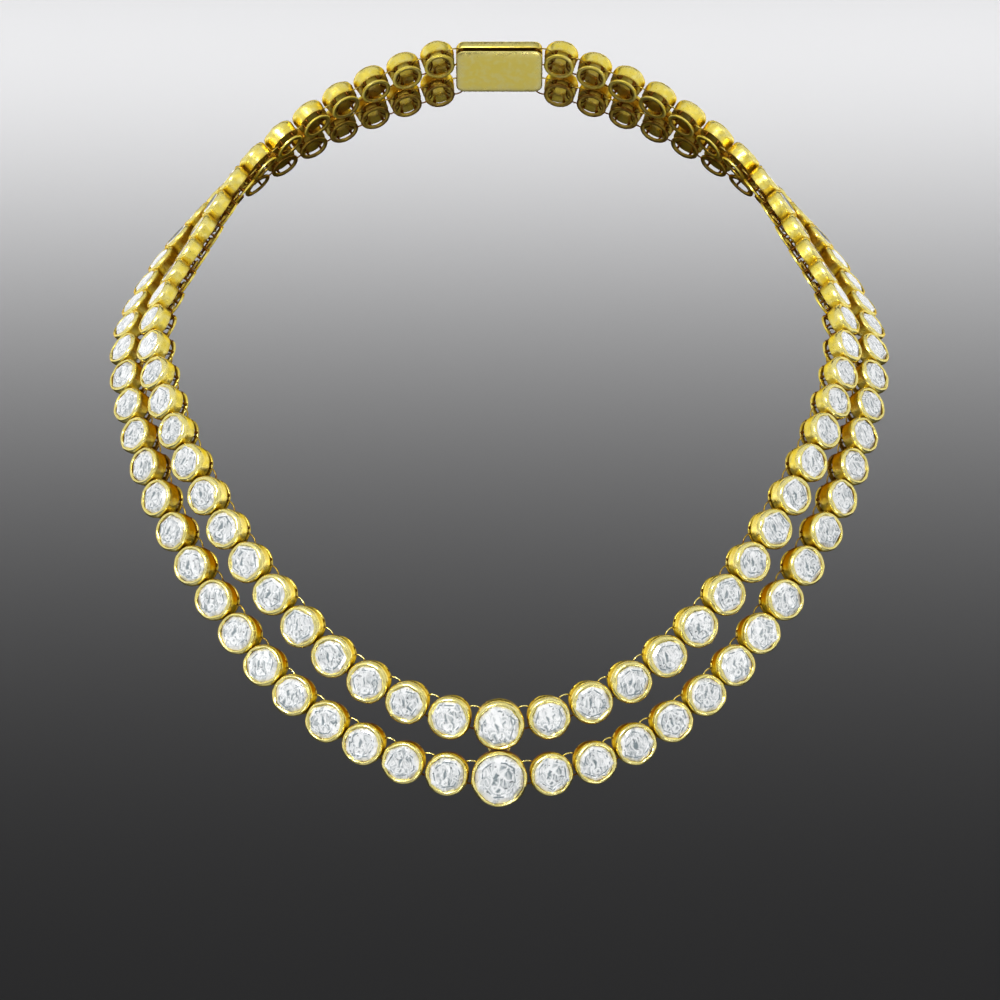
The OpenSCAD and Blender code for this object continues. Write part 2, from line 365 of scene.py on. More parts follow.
def places_tree():
    tree, given, result = new_tree("pieces_on_places", "GeometryNodeTree", (
        ("Geometry", "Geometry"), ("Pieces", "Collection"), ("Wobble", "Float", 0.0),
        ("Wobble size", "Float", 1.2 * MM), ("Seed", "Int", 1), ("Material", "Material")),
        (("Geometry", "Geometry"),))

    def attribute(name, kind="FLOAT"):
        return put(tree, "GeometryNodeInputNamedAttribute", name, {"data_type": kind}, Name=name).outputs[0]

    turn = put(tree, "FunctionNodeAxesToRotation", "turn", {"primary_axis": "Z", "secondary_axis": "X"},
               i0=attribute("face", "FLOAT_VECTOR"), i1=attribute("along", "FLOAT_VECTOR"))
    pieces = put(tree, "GeometryNodeCollectionInfo", "pieces", {"transform_space": "ORIGINAL"},
                 Collection=given["Pieces"], Separate_Children=True, Reset_Children=True)
    copies = put(tree, "GeometryNodeInstanceOnPoints", "copies", None, Points=given["Geometry"],
                 Instance=pieces.outputs[0], Pick_Instance=True, Instance_Index=attribute("kind", "INT"),
                 Rotation=turn.outputs[0], Scale=attribute("size", "FLOAT_VECTOR"))
    number = put(tree, "FunctionNodeRandomValue", "number", {"data_type": "FLOAT"}, Seed=given["Seed"])
    numbered = put(tree, "GeometryNodeStoreNamedAttribute", "number",
                   {"data_type": "FLOAT", "domain": "INSTANCE"},
                   Geometry=copies.outputs[0], Name="number", Value=number.outputs[1])
    real = put(tree, "GeometryNodeRealizeInstances", "real", None, Geometry=numbered.outputs[0])

    place = tree.nodes.new("GeometryNodeInputPosition").outputs[0]
    scale = maths(tree, "DIVIDE", 1.0, given["Wobble size"])
    spots = put(tree, "ShaderNodeTexNoise", "hand", {"noise_dimensions": "4D"}, Vector=place,
                W=given["Seed"], Scale=scale, Detail=1.0)
    centred = vector_maths(tree, "SUBTRACT", spots.outputs["Color"], (0.5, 0.5, 0.5))
    amount = maths(tree, "MULTIPLY", given["Wobble"], attribute("worked"))
    offset = put(tree, "ShaderNodeVectorMath", "offset", {"operation": "SCALE"}, i0=centred, Scale=amount)
    moved = put(tree, "GeometryNodeSetPosition", "worked", None, Geometry=real.outputs[0],
                Offset=offset.outputs[0])
    painted = put(tree, "GeometryNodeSetMaterial", "finish", None, Geometry=moved.outputs[0],
                  Material=given["Material"])
    tree.links.new(painted.outputs[0], result["Geometry"])
    return tree


set_in_places = places_tree()
print("nodes in the tree:", len(set_in_places.nodes))

# %% [markdown]
# A place is a row of values: where the piece goes, where it faces, which way its own X points, how large it
# is and which of the pieces it is. The places become a cloud of points that carries those values, because
# that is what the tree can read. The tree's result is then turned into a plain mesh, which needs no tree
# any more.

# %% Places as a cloud of points


def places_mesh(name, places):
    """A cloud of points, one for each place, that carries how its piece is turned, sized and chosen"""
    mesh = bpy.data.meshes.new(name)
    mesh.from_pydata([tuple(p["at"]) for p in places], [], [])
    for key in ("face", "along", "size"):
        values = np.array([p[key] for p in places], float).ravel()
        mesh.attributes.new(key, "FLOAT_VECTOR", "POINT").data.foreach_set("vector", values)
    kinds = [p.get("kind", 0) for p in places]
    mesh.attributes.new("kind", "INT", "POINT").data.foreach_set("value", kinds)
    return mesh


# %% From places to one plain mesh


def new_object(name, mesh):
    made = bpy.data.objects.new(name, mesh)
    bpy.context.collection.objects.link(made)
    return made


def collection_of(name, pieces):
    """Puts pieces in a collection of their own, in the order of their names"""
    kept = bpy.data.collections.new(name)
    for piece in pieces:
        kept.objects.link(piece)
        bpy.context.collection.objects.unlink(piece)
    return kept


def set_pieces(name, places, pieces, material, wobble=0.0, wobble_size=1.2 * MM, seed=1):
    """One plain mesh of all the pieces in their places"""
    cloud = new_object(name, places_mesh(name, places))
    modifier = cloud.modifiers.new("places", "NODES")
    modifier.node_group = set_in_places
    values = {"Pieces": pieces, "Wobble": wobble, "Wobble size": wobble_size, "Seed": seed,
              "Material": material}
    for item in set_in_places.interface.items_tree:
        if item.in_out == "INPUT" and item.name in values:
            modifier[item.identifier] = values[item.name]
    graph = bpy.context.evaluated_depsgraph_get()
    mesh = bpy.data.meshes.new_from_object(cloud.evaluated_get(graph), preserve_all_data_layers=True,
                                           depsgraph=graph)
    bpy.data.objects.remove(cloud)
    mesh.name = name
    piece = new_object(name, mesh)
    triangles = sum(len(p.vertices) - 2 for p in mesh.polygons)
    print(f"{name}: {len(places)} places, {triangles} triangles")
    return piece


# %% [markdown]
# ## The cup
# A real cup is a strip of sheet bent round the stone and soldered to a floor. Its edge is then pushed over
# the stone and burnished down, which leaves a rounded shoulder, a lip that slopes in to the stone, and an
# inner edge that is never quite a circle. A profile turned about an axis gives that form. Each point of the
# profile also says how freely the hand has worked it, and how satin it is or how much brown painted shade it
# takes: the lip's inner edge wanders most, and has a painted shadow beside the stone. The walls get painted
# shade where the next cups stand close on both sides, and so do the lower row's upper walls, under the upper
# row. The upper walls of the upper row's front cups get painted light instead, and come out paler.

# %% Turned meshes
TURNS = 44


def turned(name, profile, turns=TURNS, closed=False):
    """A mesh turned about Z from rows of radius, height, worked and the value for finish and painted shade.
    Radius 0 closes a pole.
    """
    mesh = bmesh.new()
    worked = mesh.verts.layers.float.new("worked")
    finish_and_shade = mesh.verts.layers.float.new("finish_and_shade")
    rings = []
    for radius, height, freely, depth in profile:
        ring = []
        for i in range(turns if radius > 0 else 1):
            a = 2 * math.pi * i / turns
            corner = mesh.verts.new((radius * math.cos(a), radius * math.sin(a), height))
            corner[worked], corner[finish_and_shade] = freely, depth
            ring.append(corner)
        rings.append(ring)
    for low, high in zip(rings, rings[1:] + (rings[:1] if closed else [])):
        for i in range(turns):
            j = (i + 1) % turns
            corners = [low[i % len(low)], low[j % len(low)], high[j % len(high)], high[i % len(high)]]
            mesh.faces.new(list(dict.fromkeys(corners)))
    bmesh.ops.recalc_face_normals(mesh, faces=mesh.faces)
    return mesh_object(name, mesh)


def mesh_object(name, mesh, smooth_below=50):
    data = bpy.data.meshes.new(name)
    mesh.to_mesh(data)
    mesh.free()
    data.shade_smooth()
    data.set_sharp_from_angle(angle=math.radians(smooth_below))
    return new_object(name, data)


# %% The cup's profile
# In mm: the rim's radius and the height of the cup that is copied
CUP_RADIUS = 3.8
CUP_HEIGHT = 2 * DEPTH_SHARE * CUP_RADIUS
# Columns: how far in from the rim's radius and how far behind the face, both in mm, worked, and the value for
# finish and painted shade: satin on the walls, brown painted shade on the back and at the lip's inner edge
CUP = [
    (3.80, 3.42, 0.0, 0.6), (0.34, 3.42, 0.1, 0.6), (0.22, 3.34, 0.2, 0.6), (0.19, 2.8, 0.3, 0.36),
    (0.10, 1.9, 0.35, 0.33), (0.02, 1.3, 0.3, 0.28), (0.0, 0.95, 0.3, 0.18), (0.03, 0.65, 0.35, 0.08),
    (0.10, 0.38, 0.4, 0.0), (0.22, 0.17, 0.5, 0.0), (0.38, 0.04, 0.6, 0.0), (0.55, 0.0, 0.8, 0.0),
    (0.67, 0.05, 1.0, 0.0), (0.76, 0.14, 1.3, 0.2), (0.82, 0.26, 1.5, 0.75), (0.84, 0.45, 1.2, 1.0),
    (0.70, 0.65, 0.3, 1.0), (0.62, 3.02, 0.0, 1.0), (3.80, 3.02, 0.0, 1.0)]
# Walls below this value take the painted light of a shade below 0; deeper parts keep their painted shade
WALL_SHADE_LIMIT = 0.5


def ramp(value, low, high):
    """0 below low, 1 above high, and in between in proportion; low may be the larger one"""
    return min(max((value - low) / (high - low), 0), 1)


def cup(name, radius, lip, shade):
    """
    A cup whose rim radius is 1 and whose height is 1 before it is set in place; radius in mm.
    Above 0, shade says how much brown painted shade the upper wall takes, and below 0 how much paler its
    painted light makes it than the rest.
    """
    profile = []
    for inset, depth, worked, finish_and_shade in CUP:
        reach = radius - inset * (lip if inset < 1 else 1)
        profile.append((reach / radius if inset < CUP_RADIUS else 0, 1 - depth / CUP_HEIGHT, worked, finish_and_shade))
    made = turned(name, profile)
    for v, deep in zip(made.data.vertices, made.data.attributes["finish_and_shade"].data):
        # Painted shade beside the next cups and, for a shade above 0, on the upper wall; below 0, painted
        # light there
        beside = ramp(abs(v.co.x), 0.84, 0.98)
        below = ramp(v.co.z, 0.90, 0.70)
        above = shade * ramp(v.co.y, 0.3, 0.8)
        if deep.value < WALL_SHADE_LIMIT:
            deep.value *= 1 + min(above, 0)
        deep.value = max(deep.value, below * max(0.9 * beside, above))
    return made


# How wide each row's lips are against the profile's
LIP = {"outer": 0.96, "inner": 1.14}
# How much brown painted shade the upper walls take or, below 0, how much painted light pales them
SHADE = {"outer": 1.0, "inner": 0.0}
# The same for the front cups: in the upper row their upper walls get painted light
FRONT_SHADE = {"outer": 1.0, "inner": -0.65}
cups = {row: collection_of(f"{row}_kinds", [
    cup(f"0_{row}_cup", CUP_RADIUS, LIP[row], SHADE[row]),
    cup(f"1_{row}_cup", CUP_RADIUS, LIP[row], FRONT_SHADE[row])]) for row in rows}

# %% [markdown]
# Every cup of a row is a copy of one of two pieces, which differ at most in the painted light on their upper
# walls, and is made as wide as its own stone needs. Hand-set collets stand so close that their rims all but
# touch, so the rims are drawn a hair wider than the construction has them.

# %% Cups in their places
# How much wider the rims are than in the frame, so that neighbours all but touch
SNUG = 0.13 * MM
CUP_WOBBLE = 0.6 * MM
CUP_WOBBLE_SIZE = 1.6 * MM
# How many cups on each side of the middle are of the front kind, with painted light on their upper walls
FRONT_CUPS = 9


def up_in(collet):
    """The direction that lies in the plane of the face, across the row, and points up"""
    across = np.cross(collet["face"], collet["along"])
    return across if across[2] > 0 else -across


def cup_places(collets):
    """The cups' places, each turned so that its own Y points up"""
    return [{"at": c["at"] + c["face"] * GALLERY / 2,
             "face": c["face"],
             "along": np.cross(up_in(c), c["face"]),
             "size": (c["radius"] + SNUG, c["radius"] + SNUG, 2 * DEPTH_SHARE * c["radius"])}
            for c in collets]


for row in rows:
    one_side = len(rows[row]["in_order"]) // 2
    places = [{**place, "kind": int(i % one_side < FRONT_CUPS)}
              for i, place in enumerate(cup_places(rows[row]["in_order"]))]
    piece = set_pieces(f"{row}_cups", places, cups[row], cup_gold, CUP_WOBBLE, CUP_WOBBLE_SIZE, 3)
    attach(piece, "root")
    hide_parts(f"{row}_settings")

# %% [markdown]
# ## The gallery
# Behind each cup a flat ring stands on four posts, and a peg behind the cup holds the wire loop. Posts
# repeat hundreds of times, so each has only a few dozen faces. Solder runs up a real post at both ends,
# which is why a post is waisted. A plain cylinder would be quicker to make and would look stuck on.

# %% Ring, post and peg
# In mm: the ring's thickness, how far in from the rim its bore begins, and how rounded its edges are
BASE = 0.45
BORE_INSET = 1.27
SOFT = 0.1
# In mm: a post's radius, how much wider its soldered ends are, how high the solder runs and where a post ends
POST = 0.25
SOLDER = 0.12
SOLDER_RISE = 0.25
HALF_GALLERY = GALLERY / MM / 2
POST_TOP = HALF_GALLERY + 0.05
FEW_SIDES = 8


def base_ring(name, radius, rail_shade, inset):
    """The flat ring behind a cup whose rim radius is 1; radius in mm. Rail is the brown painted shade on its
    outer edge.
    """
    outer, inner = radius - inset, radius - BORE_INSET
    front, back = -HALF_GALLERY, -HALF_GALLERY - BASE
    corners = [(inner, front - SOFT), (inner, back + SOFT), (inner + SOFT, back), (outer - SOFT, back),
               (outer, back + SOFT), (outer, front - SOFT), (outer - SOFT, front), (inner + SOFT, front)]
    # The outer edge takes the rail's painted shade, the rest of the ring a darker painted shade
    profile = [(r / radius, z * MM, 0.5, rail_shade if r > outer - 2 * SOFT else 0.8) for r, z in corners]
    return turned(name, profile, closed=True)


def in_metres(piece):
    piece.data.transform(Matrix.Scale(MM, 4))
    return piece


def post(name):
    """A post from ring to cup"""
    waist = POST_TOP - SOLDER_RISE
    # The last column paints the whole post in the darkest brown painted shade
    profile = [(0, -POST_TOP, 0, 1), (POST + SOLDER, -POST_TOP, 0, 1), (POST, -waist, 0, 1),
               (POST, waist, 0, 1), (POST + SOLDER, POST_TOP, 0, 1), (0, POST_TOP, 0, 1)]
    return in_metres(turned(name, profile, FEW_SIDES))


def peg(name):
    """A peg that hangs from the cup and ends just behind the loop that is soldered to it"""
    # The last column paints the peg in brown painted shade
    profile = [(0, -0.3, 0, 1), (POST - 0.08, -0.3, 0, 0.8), (POST, -0.2, 0, 0.8),
               (POST, POST_TOP - SOLDER_RISE, 0, 0.8), (POST + SOLDER, POST_TOP, 0, 1), (0, POST_TOP, 0, 1)]
    return in_metres(turned(name, profile, FEW_SIDES))


# %% [markdown]
# ## The wire loops
# A round wire loop, soldered to its own cup's peg, runs round the catch post of the next cup, so the row
# bends without a hinge pin. The wires are mostly free of brown painted shade only on top of the front loops,
# where they cross from one cup to the next. Elsewhere they take the brown painted shade of the posts. A loop
# is a small circle turned about an axis, so the same helper makes it as makes the cups. The front collets'
# rings end further in than the others, so that from the front the cups hide them, and their outer edges take
# a painted shade of their own.

# %% Wire loops, and all the pieces of a gallery
# In mm: the radius of the wire and of a loop
WIRE = 0.15
LOOP = 2.15
LOOP_TURNS = 28


def wire_loop(name, top_shade):
    """A round loop. Its one number says how much brown painted shade it takes on top, where it crosses from
    one cup to the next.
    """
    profile = [(LOOP + WIRE * math.cos(a), WIRE * math.sin(a), 0.3, 0.1)
               for a in (2 * math.pi * i / FEW_SIDES for i in range(FEW_SIDES))]
    made = turned(name, profile, LOOP_TURNS, closed=True)
    for v, deep in zip(made.data.vertices, made.data.attributes["finish_and_shade"].data):
        # Brown painted shade on the lower half, and on top rising towards the ends
        deep.value = max(ramp(abs(v.co.x), 0.6, 1.0), top_shade) if v.co.y > 0 else 1
    return in_metres(made)


# Collection Info hands out pieces in the order of their names, so each name starts with its number
RING, POST_KIND, PEG_KIND, FRONT_LOOP, LOOP_KIND, SHADED_RING = range(6)
# How much brown painted shade a ring's outer edge takes
RAIL_SHADE = {"outer": 0.9, "inner": 0.4}
# How far in from the rim's radius a ring ends, and its posts with it
RING_INSET = {RING: 0.25, SHADED_RING: 0.42}
gallery_kinds = {row: collection_of(f"{row}_gallery_kinds", [
    base_ring(f"0_{row}_ring", CUP_RADIUS, RAIL_SHADE[row], RING_INSET[RING]),
    post(f"1_{row}_post"),
    peg(f"2_{row}_peg"),
    wire_loop(f"3_{row}_loop", 0.0),
    wire_loop(f"4_{row}_loop", 0.75),
    base_ring(f"5_{row}_ring", CUP_RADIUS, 0.65, RING_INSET[SHADED_RING])]) for row in rows}

# %% [markdown]
# Each collet's own directions, along the row and up, say where its ring, posts, peg and loop go. Side posts
# stand 60 degrees from the row's line, so that they leave the loops free. Loops are hung a little above the
# middles, and each one is halfway between the two collets that it joins.

# %% The places of one collet's gallery
POST_ANGLE = 60
# How far above the collets' middles the loops are hung
LOOP_RISE = 0.6 * MM
ONE = (1, 1, 1)


def gallery_places(collet, gap, posts=(), pegs=(1,), ring=RING):
    """The base ring, posts and pegs of one collet. Posts are more places in its plane: along and up."""
    face, along, up = collet["face"], collet["along"], up_in(collet)
    radius = collet["radius"]
    turn = {"face": face, "along": along}
    places = [{**turn, "at": collet["at"], "size": (radius, radius, 1), "kind": ring}]
    a = math.radians(POST_ANGLE)
    reach = radius - (RING_INSET[ring] + POST) * MM
    side_posts = [(u * reach * math.cos(a), v * reach * math.sin(a)) for u in (-1, 1) for v in (-1, 1)]
    for u, v in side_posts + list(posts):
        places.append({**turn, "at": collet["at"] + u * along + v * up, "size": ONE, "kind": POST_KIND})
    for side in pegs:
        reach = side * (radius + gap / 2 - LOOP * MM)
        at = collet["at"] + reach * along + LOOP_RISE * up
        places.append({**turn, "at": at, "size": ONE, "kind": PEG_KIND})
    return places


# %% Loops, and the galleries of both rows
# How far in from the rim the catch posts stand
CATCH_INSET = 1.15 * MM
WIRE_WOBBLE = 0.1 * MM
# How many loops and rings on each side of the middle are of the front kind: loops with no painted shade on
# top, and rings that end further in
UNSHADED_LOOPS = 6
SHADED_RINGS = 11


def loop_places(chain, gap):
    """The loops of a chain of collets, each halfway to the next; the last one is halfway to the clasp"""
    places = []
    for i, a in enumerate(chain):
        end = a["at"] + (a["radius"] + gap / 2) * a["along"] + LOOP_RISE * up_in(a)
        face, along = a["face"], a["along"]
        if i + 1 < len(chain):
            b = chain[i + 1]
            end = (end + b["at"] - (b["radius"] + gap / 2) * b["along"] + LOOP_RISE * up_in(b)) / 2
            face, along = unit(face + b["face"]), along + b["along"]
        upright = np.cross(up_in({"face": face, "along": squared(along, face)}), face)
        places.append({"at": end, "face": face, "along": upright, "size": ONE,
                       "kind": FRONT_LOOP if i < UNSHADED_LOOPS else LOOP_KIND})
    return places


for row in rows:
    gap = rows[row]["gap"]
    places = []
    for chain in rows[row]["sides"]:
        for i, collet in enumerate(chain[1:]):
            places += gallery_places(collet, gap, posts=[(CATCH_INSET - collet["radius"], LOOP_RISE)],
                                     ring=SHADED_RING if i < SHADED_RINGS else RING)
        places += loop_places(chain, gap)[1:]
    piece = set_pieces(f"{row}_galleries", places, gallery_kinds[row], wire_gold, WIRE_WOBBLE, seed=5)
    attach(piece, "root")
    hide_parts(f"{row}_settings")

# %% [markdown]
# ## The two centre collets
# The middle collet of each row is the largest. It carries a loop on each side, and one more post that the
# loose centre ring runs round. The ring ties the rows together there, so that they never swing apart. Both
# collets come from the same tree and pieces as the rest, with a cup of their own, because a big cup's lip
# isn't much wider.

# %% Centre collets
# How wide the big cups' lips are against the profile's
CENTRE_LIP = {"outer": 0.80, "inner": 1.16}
# How far in from the rim the posts of the centre ring stand
TIE_INSET = 0.95 * MM
centre_cups = {row: collection_of(f"{row}_centre_kind", [
    cup(f"{row}_big_cup", rows[row]["middle"]["radius"] / MM, CENTRE_LIP[row], FRONT_SHADE[row])])
    for row in rows}
for row, tie_side in (("outer", 1), ("inner", -1)):
    gap = rows[row]["gap"]
    middle = rows[row]["middle"]
    tie = (0, tie_side * (middle["radius"] - TIE_INSET))
    places = gallery_places(middle, gap, posts=[tie], pegs=(1, -1), ring=SHADED_RING)
    for chain in rows[row]["sides"]:
        places.append(loop_places(chain[:2], gap)[0])
    for name, where, kinds, gold, wobble in (
            (f"{row}_centre_cup", cup_places([middle]), centre_cups[row], cup_gold, CUP_WOBBLE),
            (f"{row}_centre_gallery", places, gallery_kinds[row], wire_gold, WIRE_WOBBLE)):
        piece = set_pieces(name, where, kinds, gold, wobble=wobble, seed=7)
        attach(piece, "root")
        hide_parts(f"{row}_centre_setting")

# %% [markdown]
# ## Uncut stones
# The stones are slices of rough crystal, polished on one side by hand. Each has a flat table of six to
# eight uneven sides, sloping edges that go under the lip, and a sheet of crumpled silver foil behind it,
# which throws the light back. A many-sided disc, cut by planes at uneven angles, gives the polished
# outside. Modelling each crumple of the foil would need millions of faces, so the foil, and the light that it
# throws back, are painted into the material.

# %% Cut a blank
# As shares of the girdle's radius: the stone's whole depth, and its table's height above the girdle
STONE_DEPTH = 0.5
TABLE_HEIGHT = 0.19
BLANK_SIDES = 32


def slice_off(mesh, distance, height, azimuth, tilt):
    """Clears what lies outside a plane that passes at that distance and height and leans by tilt"""
    a = math.radians(azimuth)
    t = math.radians(tilt)
    normal = Vector((math.cos(a) * math.sin(t), math.sin(a) * math.sin(t), math.cos(t)))
    at = Vector((distance * math.cos(a), distance * math.sin(a), height))
    whole = mesh.verts[:] + mesh.edges[:] + mesh.faces[:]
    cut = bmesh.ops.bisect_plane(mesh, geom=whole, plane_co=at, plane_no=normal, clear_outer=True)
    rim = [e for e in cut["geom_cut"] if isinstance(e, bmesh.types.BMEdge)]
    if rim:
        bmesh.ops.holes_fill(mesh, edges=rim)


def cut_blank(hand, sides, table):
    """A disc of radius 1 with its girdle on z = 0, cut by a steep and a flat plane on each of its sides"""
    mesh = bmesh.new()
    bmesh.ops.create_cone(mesh, cap_ends=True, segments=BLANK_SIDES, radius1=1, radius2=1, depth=STONE_DEPTH,
                          matrix=Matrix.Translation((0, 0, TABLE_HEIGHT - STONE_DEPTH / 2)))
    start = hand.uniform(0, 360)
    for i in range(sides):
        azimuth = start + 360 * (i + hand.uniform(-0.22, 0.22)) / sides
        edge = table * hand.uniform(0.88, 1.08)
        tilt = math.degrees(math.atan2(TABLE_HEIGHT + hand.uniform(-0.02, 0.05), 1 - edge))
        slice_off(mesh, edge, TABLE_HEIGHT, azimuth, tilt)
        slice_off(mesh, edge * hand.uniform(0.93, 0.98), TABLE_HEIGHT,
                  azimuth + hand.uniform(-14, 14), tilt * 0.35)
    bmesh.ops.remove_doubles(mesh, verts=mesh.verts, dist=0.004)
    bmesh.ops.dissolve_limit(mesh, angle_limit=math.radians(0.5), verts=mesh.verts, edges=mesh.edges)
    bmesh.ops.recalc_face_normals(mesh, faces=mesh.faces)
    return mesh


# %% [markdown]
# Through the table one sees the foil's own outline as a dark line with a bright and a grey one inside it,
# and a few breaks in the foil. Bands and cuts across the table hold them. They stay flat, because only
# their brightness differs, and each face carries that brightness as a value named "tone". The bright and
# grey bands and the patches between the breaks are painted reflections of the foil.

# %% Tone the stones
FLAT = 0.999
# Bands inside the table's edge. Columns: the size of what lies within the band, and how bright the band is:
# a dark line, then painted reflections
OUTLINE = ((0.91, 0.10), (0.80, 1.0), (0.76, 0.65))


def on_table(mesh, least=0.0, reach=2.0):
    """The table's faces that are larger than least and whose middles lie within reach"""
    return [f for f in mesh.faces
            if f.normal.z > FLAT and f.calc_area() > least and f.calc_center_median().length < reach]


def band_table(mesh, tone):
    """The bands, each between one outline and a smaller copy of it"""
    middle = on_table(mesh)
    size = 1
    for share, bright in OUTLINE:
        for face in bmesh.ops.inset_region(mesh, faces=middle, thickness=0)["faces"]:
            face[tone] = bright
        centre = middle[0].calc_center_median()
        for v in middle[0].verts:
            v.co = centre + (v.co - centre) * share / size
        size = share


def break_table(mesh, tone, hand, breaks=3):
    """Breaks across the middle of the table, and a brightness for each patch between them, a painted
    reflection of the foil
    """
    for i in range(breaks):
        inside = on_table(mesh, 0.1, 0.5)
        edges = list({e for f in inside for e in f.edges})
        corners = list({v for f in inside for v in f.verts})
        a = hand.uniform(0, 2 * math.pi)
        bmesh.ops.bisect_plane(mesh, geom=inside + edges + corners,
                               plane_co=(hand.uniform(-0.2, 0.2), hand.uniform(-0.2, 0.2), TABLE_HEIGHT),
                               plane_no=(math.cos(a), math.sin(a), hand.uniform(-0.2, 0.2)))
    for face in on_table(mesh, 0.02, 0.55):
        face[tone] = hand.uniform(0.76, 1.0)


def uncut_stone(name, seed, sides, table=0.78):
    """A stone whose girdle radius is 1 and whose table is about as wide as stated"""
    hand = random.Random(seed)
    mesh = cut_blank(hand, sides, table)
    tone = mesh.faces.layers.float.new("tone")
    # Every facet gets a random brightness, a painted reflection of the foil behind it
    for face in mesh.faces:
        face[tone] = hand.choice((0.75, 0.92, 1.0, 1.0))
    band_table(mesh, tone)
    break_table(mesh, tone, hand)
    bmesh.ops.triangulate(mesh, faces=mesh.faces)
    made = mesh_object(name, mesh, smooth_below=0.5)
    spots = made.data.attributes.new("spot", "FLOAT_VECTOR", "POINT")
    spots.data.foreach_set("vector", [x for v in made.data.vertices for x in v.co])
    return made


STONE_KINDS = 9
stone_kinds = collection_of("stone_kinds", [
    uncut_stone(f"{i}_stone", 40 + i, 6 + i % 3) for i in range(STONE_KINDS)])

# %% [markdown]
# Each stone takes one of nine shapes and is turned a little, both drawn at random, as if picked from a
# parcel. The seed is fixed, so the same draw comes out on every run.

# %% Seats for the stones
# How far a girdle lies below the rim: a little less than in the frame, so that no gap shows under the lip
SEAT_DROP = 0.5 * MM


def stone_places(collets, seed):
    """A stone for each collet, of a kind that the seed draws, with its own Y almost straight up"""
    hand = random.Random(seed)
    places = []
    for c in collets:
        up = squared(np.array([0, 0, 1]), c["face"])
        turn = hand.uniform(-0.3, 0.3)
        radius = c["radius"] - WALL_AND_GAP
        height = GALLERY / 2 + 2 * DEPTH_SHARE * c["radius"] - SEAT_DROP
        places.append({"at": c["at"] + height * c["face"], "face": c["face"],
                       "along": math.cos(turn) * np.cross(up, c["face"]) + math.sin(turn) * up,
                       "size": (radius, radius, radius), "kind": hand.randrange(STONE_KINDS)})
    return places


# %% [markdown]
# ## Crumpled foil
# Seen through the stone, the foil is a pattern of small tilted patches, some catching the light and some
# not, with shade in the folds between them, and here and there a bulge that shows as a drop with bright
# rings. The material paints this in as painted reflections, painted shade and painted glints. Two cell
# textures draw patches and folds, and the lines where a noise crosses its middle draw the strokes. Every
# stone carries a number of its own, which shifts the pattern, so no two stones show the same piece of foil.

# %% Helpers for the foil's pattern


def patches(tree, feature, vector, size):
    return put(tree, "ShaderNodeTexVoronoi", "patches", {"feature": feature}, Vector=vector, Scale=size)


def halo(tree, value, at, width):
    """1 where a value is at, and 0 where it differs by width or more"""
    apart = maths(tree, "ABSOLUTE", maths(tree, "SUBTRACT", value, at))
    return between(tree, apart, 0.0, width, 1.0, 0.0)


def stroke(tree, vector, size, width):
    """1 along the lines where a noise crosses its middle, 0 away from them"""
    return halo(tree, noise(tree, "stroke", vector, size, 0.5), 0.5, width)


def oval(tree, vector, x, y, wide, high):
    """How far out a place is from an oval's middle: 1 on the oval's edge"""
    scale, shift = (1 / wide, 1 / high, 0), (-x / wide, -y / high, 0)
    scaled = vector_maths(tree, "MULTIPLY_ADD", vector, scale, shift)
    return vector_maths(tree, "LENGTH", scaled, output="Value")


def darker(tree, light, mask, amount):
    return maths(tree, "SUBTRACT", light, maths(tree, "MULTIPLY", mask, amount))


# %% The crumpled foil group


